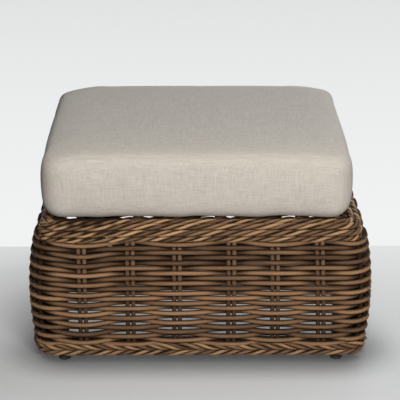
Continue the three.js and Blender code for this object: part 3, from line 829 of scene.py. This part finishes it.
# %% Powder coat
def grained_material(name, gloss=0.5, metal=0.0, relief=None, **values):
    """A material with the grained skin. relief is the depth of its grain, in metres, and the strength."""
    material, tree, principled = new_material(name, Specular_IOR_Level=gloss, Metallic=metal)
    skin = place_group(tree, grained_group, **values)
    wire(tree, object_place(tree), skin.inputs["Place"])
    wear(tree, principled, skin, relief)
    return material


def paint(node, material):
    """Gives a CAD node's object another finish."""
    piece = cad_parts[node]
    piece.data.materials.clear()
    piece.data.materials.append(material)


coat = grained_material("bronze_powder_coat", relief=(0.0002, 0.5), Grain_Scale=900.0, Cloud_Scale=9.0,
                        Dark=(0.045, 0.03, 0.022, 1), Light=(0.085, 0.058, 0.042, 1), Smooth=0.36)
frame_nodes = ["top_rail", "bottom_rail"] + [f"{name}_leg" for name in corner_names]
frame_nodes += [f"deck_slat_{number}" for number in range(1, 7)]
for node in frame_nodes:
    paint(node, coat)
print("painted", len(frame_nodes), "frame nodes")

# %% Glide plastic
plastic = grained_material("black_glide_plastic", gloss=0.4, relief=(0.0003, 0.4), Grain_Scale=700.0,
                           Cloud_Detail=4.0, Dark=(0.012, 0.011, 0.011, 1), Light=(0.035, 0.031, 0.03, 1),
                           Dulling=0.3)
for name in corner_names:
    paint(f"{name}_glide", plastic)
print("glides painted")

# %% [markdown]
# ## Linen finish
# The cushion's cover is a plain-weave outdoor linen with thick and thin yarns, so it shows short slubs both ways.
# The slubs of each yarn direction are noise that is long one way and thin the other two. A direction is left out
# where the cloth faces it, because there the yarns would be seen end on.

# %% Linen group
linen_group, given, made = new_group(
    "linen_weave",
    [("Place", "NodeSocketVector", None), ("Facing", "NodeSocketVector", None),
     ("Base", "NodeSocketColor", (0.6, 0.53, 0.46, 1)), ("Slub", "NodeSocketColor", (0.75, 0.68, 0.6, 1)),
     ("Shade", "NodeSocketColor", (0.42, 0.36, 0.31, 1))],
    [("Colour", "NodeSocketColor"), ("Height", "NodeSocketFloat")],
)
tree = linen_group
SLUBS_ALONG, SLUBS_ACROSS = 32.0, 430.0  # per metre, along a yarn and across it
THREAD_PITCH = 0.0013
slubs, threads = [], []
for facing_part, place_part, axis in zip(parted(tree, given["Facing"]),
                                         parted(tree, given["Place"]), range(3)):
    scale = [SLUBS_ACROSS] * 3
    scale[axis] = SLUBS_ALONG
    noise = stretched_noise(tree, given["Place"], scale, 2.0, 0.55)
    end_on = maths(tree, "POWER", maths(tree, "ABSOLUTE", facing_part), 2.0)
    shown = maths(tree, "SUBTRACT", 1.0, end_on)
    slubs.append(maths(tree, "MULTIPLY", shown, maths(tree, "SUBTRACT", noise, 0.5)))
    threads.append(maths(tree, "MULTIPLY", shown, ripple(tree, place_part, 2 * math.pi / THREAD_PITCH)))
slub, thread = [maths(tree, "ADD", maths(tree, "ADD", x, y), z) for x, y, z in (slubs, threads)]
print("linen yarns", len(tree.nodes), "nodes")

# %% Colour and relief of the linen
light_slubs, dark_slubs = [held(tree, maths(tree, "MULTIPLY", slub, factor)) for factor in (1.5, -1.5)]
colour = blend_colours(tree, light_slubs, given["Base"], given["Slub"])
colour = blend_colours(tree, dark_slubs, colour, given["Shade"])
wire(tree, colour, made["Colour"])
wire(tree, scaled(tree, thread, 0.18, slub), made["Height"])
print("linen group has", len(tree.nodes), "nodes")

# %% Linen material
linen, tree, principled = new_material("beige_linen", Roughness=0.92, Specular_IOR_Level=0.15,
                                       Sheen_Weight=0.15, Sheen_Roughness=0.5)
cloth_skin = place_group(tree, linen_group, Base=(0.60, 0.55, 0.49, 1), Slub=(0.75, 0.70, 0.64, 1),
                         Shade=(0.43, 0.39, 0.34, 1))
wire(tree, object_place(tree), cloth_skin.inputs["Place"])
wire(tree, tree.nodes.new("ShaderNodeNewGeometry").outputs["Normal"], cloth_skin.inputs["Facing"])
# painted shade along the creases of the seams
seam_share = maths(tree, "MULTIPLY", kept_value(tree, "seam"), 0.12)
seamed = blend_colours(tree, seam_share, cloth_skin.outputs["Colour"], (0.30, 0.25, 0.21, 1))
wire(tree, seamed, principled.inputs["Base Color"])
emboss(tree, principled, cloth_skin.outputs["Height"], 0.0006, 0.5)
print("linen material ready")

# %% [markdown]
# ## Seat cushion
# The cushion is a box cushion: a top and a bottom panel sewn to a boxing strip round a block of foam. It starts as
# a cube that is scaled to size, with its upright corners and rims bevelled. Then it is remeshed and blown up by a
# short cloth simulation, so that the panels crown between the seams. It starts smaller, because it swells.


# %% Block and bevel helpers
def block(centre, size):
    """A cube that is moved to its centre and scaled to its size, in metres, both kept in its mesh."""
    bpy.ops.object.select_all(action="DESELECT")
    bpy.ops.mesh.primitive_cube_add(size=1, location=centre)
    piece = bpy.context.object
    piece.scale = size
    bpy.ops.object.transform_apply(location=True, rotation=True, scale=True)
    return piece


def bevel_edges(piece, offset, segments, chosen=lambda edge: True):
    """Rounds the chosen edges of a piece, or all of them."""
    bpy.ops.object.mode_set(mode="EDIT")
    bpy.ops.mesh.select_mode(type="EDGE")
    bpy.ops.mesh.select_all(action="DESELECT")
    shape = bmesh.from_edit_mesh(piece.data)
    for edge in shape.edges:
        edge.select_set(chosen(edge))
    bpy.ops.mesh.bevel(offset=offset, segments=segments, affect="EDGES")
    bpy.ops.object.mode_set(mode="OBJECT")


def span(edge, axis):
    """How far an edge reaches along X (0), Y (1) or Z (2)."""
    return abs(edge.verts[0].co[axis] - edge.verts[1].co[axis])


print("block helpers ready")

# %% Cushion block
CUSHION_LOW = Vector((-0.3575, -0.303, 0.342))
CUSHION_HIGH = Vector((0.3435, 0.303, 0.5105))
SWELL_ROOM = Vector((0.02, 0.02, 0.02))  # the block starts smaller by this much, because it swells
UPRIGHT_RADIUS, TOP_RADIUS, UNDERSIDE_RADIUS = 0.048, 0.023, 0.034

cover = block((CUSHION_LOW + CUSHION_HIGH) / 2, (CUSHION_HIGH - CUSHION_LOW) - SWELL_ROOM)
cover.name = "cushion_linen_cover"
bevel_edges(cover, UPRIGHT_RADIUS, 8, lambda edge: span(edge, 2) > 0.05)
for level, radius in ((max, TOP_RADIUS), (min, UNDERSIDE_RADIUS)):
    rim_height = level(v.co.z for v in cover.data.vertices)
    bevel_edges(cover, radius, 6, lambda edge: all(abs(v.co.z - rim_height) < 1e-4 for v in edge.verts))
remesh = cover.modifiers.new("remesh", "REMESH")
remesh.mode = "VOXEL"
remesh.voxel_size = 0.007
bpy.ops.object.modifier_apply(modifier="remesh")
print("cushion block", len(cover.data.polygons), "faces")

# %% Blow up the cover
CLOTH_FRAMES = 20
rest_points = mesh_values(cover, "co")
rest_normals = mesh_values(cover, "normal")
cloth = cover.modifiers.new("cloth", "CLOTH")
cloth.settings.quality = 5
cloth.settings.use_pressure = True
cloth.settings.uniform_pressure_force = 4
cloth.settings.effector_weights.gravity = 0
for frame_number in range(1, CLOTH_FRAMES + 1):
    bpy.context.scene.frame_set(frame_number)
bpy.ops.object.modifier_apply(modifier="cloth")
bpy.context.scene.frame_set(1)
moved = mesh_values(cover, "co") - rest_points
far = np.linalg.norm(moved, axis=1, keepdims=True)
print("cover", len(rest_points), "points, largest move", round(float(far.max()), 4))

# %% [markdown]
# ## Fit of the cover
# The blown-up cover keeps its crown, and less of its sideways bulge, because the boxing strip holds the sides
# nearly straight. It is stretched to its box, and its corners are drawn down, as the fill never reaches into them.
# The front sinks a little from being sat on, and the lower edge is slightly wavy where it lies on the rope border.
# At the back, the cloth lies flat where the zip is sewn in.

# %% Calm the swelling
SWELL_CAP = 0.026  # metres, the farthest that a point may move
SWELL_SHARES = np.array([0.45, 0.3, 0.15])  # how much of the move is kept along X, Y and Z
moved = moved * np.minimum(1, SWELL_CAP / np.maximum(far, 1e-9)) * SWELL_SHARES
cover.data.vertices.foreach_set("co", (rest_points + moved).ravel())
edit_all(bpy.ops.mesh.vertices_smooth, factor=0.5, repeat=6)
print("most of a move that is kept", round(float(np.abs(moved).max()), 4))

# %% Stretch the cover to its box
points = mesh_values(cover, "co")
middle = np.array((CUSHION_LOW + CUSHION_HIGH) / 2)
half_box = np.array((CUSHION_HIGH - CUSHION_LOW) / 2)
low, high = points.min(axis=0), points.max(axis=0)
points = middle + (points - (low + high) / 2) * half_box / ((high - low) / 2)
share_x, share_y, share_z = ((points - middle) / half_box).T  # each -1 to 1 across the box
out_x, out_y = np.abs(share_x), np.abs(share_y)
print("stretched to", tuple(np.round(2 * half_box, 4)))

# %% Draw the rim and corners down
RIM_SINK, FRONT_SINK, BACK_LIFT, UNDERSIDE_SINK = 0.0015, 0.011, 0.002, 0.004
upper = smooth_step((share_z + 0.6) / 1.4)
rim = smooth_step((np.maximum(out_x, out_y) - 0.72) / 0.28)
corner = smooth_step((out_x - 0.66) / 0.34) * smooth_step((out_y - 0.6) / 0.4)
front = smooth_step((-share_y - 0.5) / 0.5)
points[:, 2] -= upper * (RIM_SINK * rim + FRONT_SINK * front)
droop = 0.0132 + 0.003 * share_y - 0.004 * share_x * smooth_step(share_y)
points[:, 2] -= upper * corner * droop
points[:, 2] += upper * BACK_LIFT * smooth_step((share_y - 0.2) / 0.6)
points[:, 2] -= UNDERSIDE_SINK * smooth_step(-share_z / 0.8)
print("corners drawn down by up to", round(float(droop.max()), 4))

# %% Swell the sides and wave the lower edge
BACK_SWELL, EDGE_WAVE = 0.005, 0.0011
toward_back = smooth_step((share_y + 0.9) / 0.9)
points[:, 0] += np.clip(share_x, 0, 1) * (0.001 + BACK_SWELL * toward_back)
points[:, 0] += np.clip(share_x, -1, 0) * (0.0035 + BACK_SWELL * toward_back)
edge_wave = np.sin(points[:, 0] * 37 + 0.6)
edge_wave = edge_wave + 0.6 * np.sin(points[:, 0] * 71 + 2)
edge_wave = edge_wave + 0.7 * np.sin(points[:, 1] * 53 + 1)
points[:, 2] += EDGE_WAVE * edge_wave * smooth_step(-share_z) * smooth_step((1 - np.abs(share_z)) / 0.1)
print("widest", round(float(np.ptp(points[:, 0])), 4))

# %% Flatten the cloth behind the zip
ZIP_Z, ZIP_LEFT, ZIP_RIGHT = 0.41625, -0.2192, 0.2002  # the tape's middle height and its two ends
CLOTH_FACE = 0.2996  # how far back the flat cloth lies, just under the tape
near_zip = smooth_step((0.034 - np.abs(points[:, 2] - ZIP_Z)) / 0.024) * smooth_step((points[:, 1] - 0.26) / 0.02)
near_zip = near_zip * smooth_step((ZIP_RIGHT + 0.06 - points[:, 0]) / 0.05)
near_zip = near_zip * smooth_step((points[:, 0] - ZIP_LEFT + 0.06) / 0.05)
points[:, 1] += near_zip * (CLOTH_FACE - points[:, 1])
cover.data.vertices.foreach_set("co", points.ravel())
print("cover fitted, zip reaches", int((near_zip > 0.9).sum()), "points")

# %% [markdown]
# ## Seams and foam
# The seams that join the panels to the boxing strip run along both rims. The fine crease they leave is kept as a
# number on the points, which paints a little shade on the cloth there. The foam is a copy of the cover, shrunk
# inwards.


# %% Seams
def pick(piece):
    """Selects one piece alone, for the operators that follow."""
    bpy.ops.object.select_all(action="DESELECT")
    piece.select_set(True)
    bpy.context.view_layer.objects.active = piece


SEAM_TILT = 0.74  # how far up or down the block's skin faces where the seams run
seam = sum(np.exp(-((rest_normals[:, 2] + tilt) / 0.1) ** 2) for tilt in (-SEAM_TILT, SEAM_TILT))
keep_value(cover, "seam", seam)
print("seam points", int((seam > 0.5).sum()))

# %% Foam block
FOAM_GAP = 0.005  # the foam lies this far inside the cover
foam = bpy.data.objects.new("cushion_foam_block", cover.data.copy())
bpy.context.collection.objects.link(foam)
pick(foam)
edit_all(bpy.ops.transform.shrink_fatten, value=-FOAM_GAP)
bpy.ops.object.shade_smooth()
print("foam", len(foam.data.polygons), "faces")

# %% Finish the cover
SEAM_DEPTH = 0.0003
pick(cover)
rounder = cover.modifiers.new("subdivide", "SUBSURF")
rounder.levels = 1
rounder.render_levels = 1
bpy.ops.object.modifier_apply(modifier="subdivide")
bpy.ops.object.shade_smooth()
seam = np.empty(len(cover.data.vertices))
cover.data.attributes["seam"].data.foreach_get("value", seam)
points = mesh_values(cover, "co") - SEAM_DEPTH * mesh_values(cover, "normal") * np.minimum(seam, 1)[:, None]
cover.data.vertices.foreach_set("co", points.ravel())
cover.data.materials.append(linen)
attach(cover, "cushion")
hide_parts("cushion_cover")
print("cover box", np.round(points.min(axis=0), 4), np.round(points.max(axis=0), 4), len(cover.data.polygons))

# %% [markdown]
# ## Foam finish
# The foam is cream coloured and open celled. A Voronoi texture gives the cells, because its distance falls to
# nothing in the middle of each, which is where a pore is painted darker, as shade in the hole.

# %% Foam finish
foam_material, tree, principled = new_material("cushion_foam", Roughness=0.95)
cells = add_node(tree, "ShaderNodeTexVoronoi", Scale=600.0)
wire(tree, object_place(tree), cells.inputs["Vector"])
# painted shade: the middles of the cells are darker
wire(tree, blend_colours(tree, cells.outputs["Distance"], (0.55, 0.47, 0.3, 1), (0.78, 0.7, 0.5, 1)),
     principled.inputs["Base Color"])
foam.data.materials.append(foam_material)
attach(foam, "cushion")
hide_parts("cushion_foam_core")
print("foam finished in", foam_material.name)

# %% [markdown]
# ## Zip
# A coil zip closes the cover at the back. Its tape is a thin strip, its teeth are one small block copied along
# the tape by an array, and both halves interlock. The slider is a metal saddle with a pull that hangs from it.

# %% Zip tape and teeth
TAPE_BACK, TEETH_BACK = 0.3004, 0.3011  # how far back the middles of the tape and the teeth lie
TOOTH_PITCH, TOOTH_SHIFT = 0.0015, 0.0007  # along the tape, and up or down from its middle
BARE_END = 0.006  # tape without teeth at each end
TEETH = int((ZIP_RIGHT - ZIP_LEFT - 2 * BARE_END) / TOOTH_PITCH)
tape = block(((ZIP_LEFT + ZIP_RIGHT) / 2, TAPE_BACK, ZIP_Z), (ZIP_RIGHT - ZIP_LEFT, 0.0008, 0.0095))
bevel_edges(tape, 0.0003, 2)
halves = []
for side in (-1, 1):
    start = ZIP_LEFT + BARE_END + (TOOTH_PITCH / 2 if side > 0 else 0)
    tooth = block((start, TEETH_BACK, ZIP_Z + side * TOOTH_SHIFT), (0.0007, 0.0010, 0.0028))
    bevel_edges(tooth, 0.00018, 1)
    array = tooth.modifiers.new("along", "ARRAY")
    array.use_relative_offset = False
    array.use_constant_offset = True
    array.constant_offset_displace = (TOOTH_PITCH, 0, 0)
    array.count = TEETH
    bpy.ops.object.modifier_apply(modifier="along")
    halves.append(tooth)
print("teeth", 2 * TEETH)

# %% Zip finish
STITCH_LINE, STITCH_HALF = 0.0036, 0.0003  # a line of stitches above and below the teeth, and half its thickness
zip_cloth, tree, principled = new_material("zip_tape_and_coil", Roughness=0.7, Specular_IOR_Level=0.3)
place = object_place(tree)
along, _, up = parted(tree, place)
herring = ripple(tree, maths(tree, "ADD", along, up), 9000)
grime = noise_on(tree, place, 120.0, 3.0)
stitch = maths(tree, "GREATER_THAN", ripple(tree, along, 2200), -0.2)
from_middle = maths(tree, "ABSOLUTE", maths(tree, "SUBTRACT", up, ZIP_Z))
from_line = maths(tree, "ABSOLUTE", maths(tree, "SUBTRACT", from_middle, STITCH_LINE))
stitches = maths(tree, "MULTIPLY", stitch, maths(tree, "LESS_THAN", from_line, STITCH_HALF))
tape_colour = blend_colours(tree, grime, (0.44, 0.38, 0.31, 1), (0.56, 0.49, 0.41, 1))
tape_colour = blend_colours(tree, stitches, tape_colour, (0.68, 0.62, 0.55, 1))
wire(tree, tape_colour, principled.inputs["Base Color"])
emboss(tree, principled, scaled(tree, herring, 0.3, stitches), 0.0002, 0.4)
zip_strip = join_parts("zip_tape_with_coil", [tape] + halves, zip_cloth, body="cushion")
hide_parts("zip_tape")
print("zip", len(zip_strip.data.polygons), "faces")

# %% Zip slider
SLIDER_X = 0.1865  # where the closed zip's slider stands
saddle = block((SLIDER_X, 0.3032, ZIP_Z), (0.0078, 0.0024, 0.0078))
bevel_edges(saddle, 0.0022, 4, lambda edge: span(edge, 1) > 0.001)
bevel_edges(saddle, 0.0004, 2)
pull = block((SLIDER_X, 0.3053, ZIP_Z - 0.0112), (0.0046, 0.0011, 0.0205))
bevel_edges(pull, 0.0014, 4, lambda edge: span(edge, 1) > 0.0005)
bpy.ops.object.mode_set(mode="EDIT")
bpy.ops.mesh.select_mode(type="FACE")
bpy.ops.mesh.select_all(action="DESELECT")
shape = bmesh.from_edit_mesh(pull.data)
for face in shape.faces:
    face.select_set(abs(face.normal.y) > 0.9)
bpy.ops.mesh.inset(thickness=0.0007)
bpy.ops.transform.shrink_fatten(value=-0.00025)
bpy.ops.object.mode_set(mode="OBJECT")
nickel = grained_material("zip_nickel", metal=1.0, Cloud_Scale=400.0, Cloud_Detail=4.0,
                          Dark=(0.42, 0.4, 0.37, 1), Light=(0.6, 0.58, 0.54, 1), Smooth=0.22, Dulling=0.25)
slider = join_parts("zip_slider_with_pull", [saddle, pull], nickel, body="zip_slider")
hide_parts("zip_slider")
print("slider", len(slider.data.polygons), "faces")

# %% [markdown]
# ## Finish
# The box of the finished object is printed at the end.

# %% Finish
low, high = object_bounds()
print("visual box", tuple(low), tuple(high))
